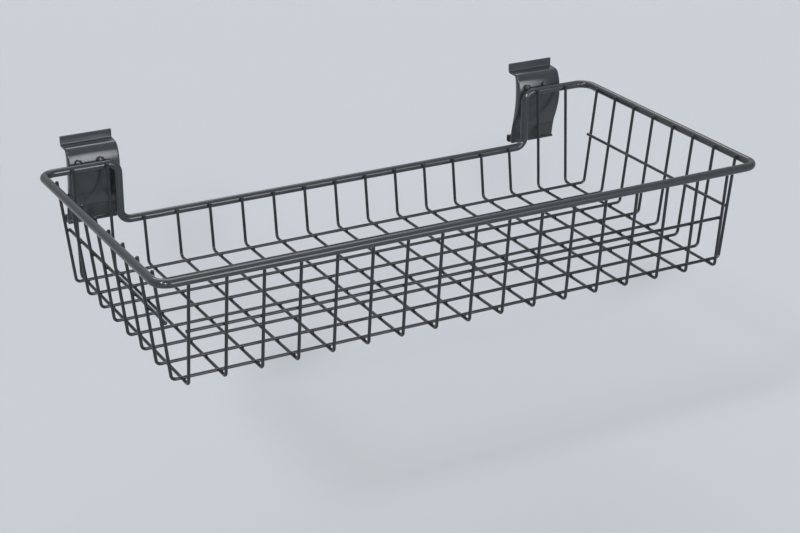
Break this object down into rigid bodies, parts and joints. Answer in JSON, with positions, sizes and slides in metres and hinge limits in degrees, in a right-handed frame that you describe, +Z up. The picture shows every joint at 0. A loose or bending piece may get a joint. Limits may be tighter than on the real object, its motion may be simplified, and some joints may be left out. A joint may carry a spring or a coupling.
{
  "type": "wire storage basket",
  "caption": "Shallow wire basket with a rod rim, a dropped back rail and formed plate brackets that hook into a slotted wall panel and lock with turning cams.",
  "frame": {"origin": "midway between the two brackets, on the wall face, at the height of the ledge that carries the hooks", "axes": "+X along the wall to the right as seen from the front, +Y into the wall, +Z up; the front of the basket faces -Y"},
  "size_m": [0.61, 0.3249, 0.1295],
  "materials": {
    "powder_coat": "graphite grey satin powder coat on steel",
    "black_plastic": "matt black moulded plastic",
    "plated_steel": "zinc plated"
  },
  "bodies": {
    "basket": {"rim_rod": "powder_coat", "cross_wire_01": "powder_coat", "cross_wire_02": "powder_coat", "cross_wire_03": "powder_coat", "cross_wire_04": "powder_coat", "cross_wire_05": "powder_coat", "cross_wire_06": "powder_coat", "cross_wire_07": "powder_coat", "cross_wire_08": "powder_coat", "cross_wire_09": "powder_coat", "cross_wire_10": "powder_coat", "cross_wire_11": "powder_coat", "cross_wire_12": "powder_coat", "cross_wire_13": "powder_coat", "cross_wire_14": "powder_coat", "cross_wire_15": "powder_coat", "cross_wire_16": "powder_coat", "cross_wire_17": "powder_coat", "long_wire_1": "powder_coat", "long_wire_2": "powder_coat", "long_wire_3": "powder_coat", "long_wire_4": "powder_coat", "long_wire_5": "powder_coat", "long_wire_6": "powder_coat", "long_wire_7": "powder_coat", "long_wire_8": "powder_coat", "front_band_wire": "powder_coat", "left_band_wire": "powder_coat", "right_band_wire": "powder_coat", "left_bracket": "powder_coat", "right_bracket": "powder_coat"},
    "left_cam": {"left_cam_bar": "black_plastic", "left_cam_knob": "black_plastic", "left_cam_pin": "plated_steel"},
    "right_cam": {"right_cam_bar": "black_plastic", "right_cam_knob": "black_plastic", "right_cam_pin": "plated_steel"}
  },
  "joints": [
    {"name": "left_cam_turn", "type": "hinge", "parent": "basket", "child": "left_cam", "pos_m": [-0.2465, 0.00234, -0.0722], "axis": [-1, 0, 0], "range_deg": [0, 90]},
    {"name": "right_cam_turn", "type": "hinge", "parent": "basket", "child": "right_cam", "pos_m": [0.2465, 0.00234, -0.0722], "axis": [-1, 0, 0], "range_deg": [0, 90]}
  ]
}
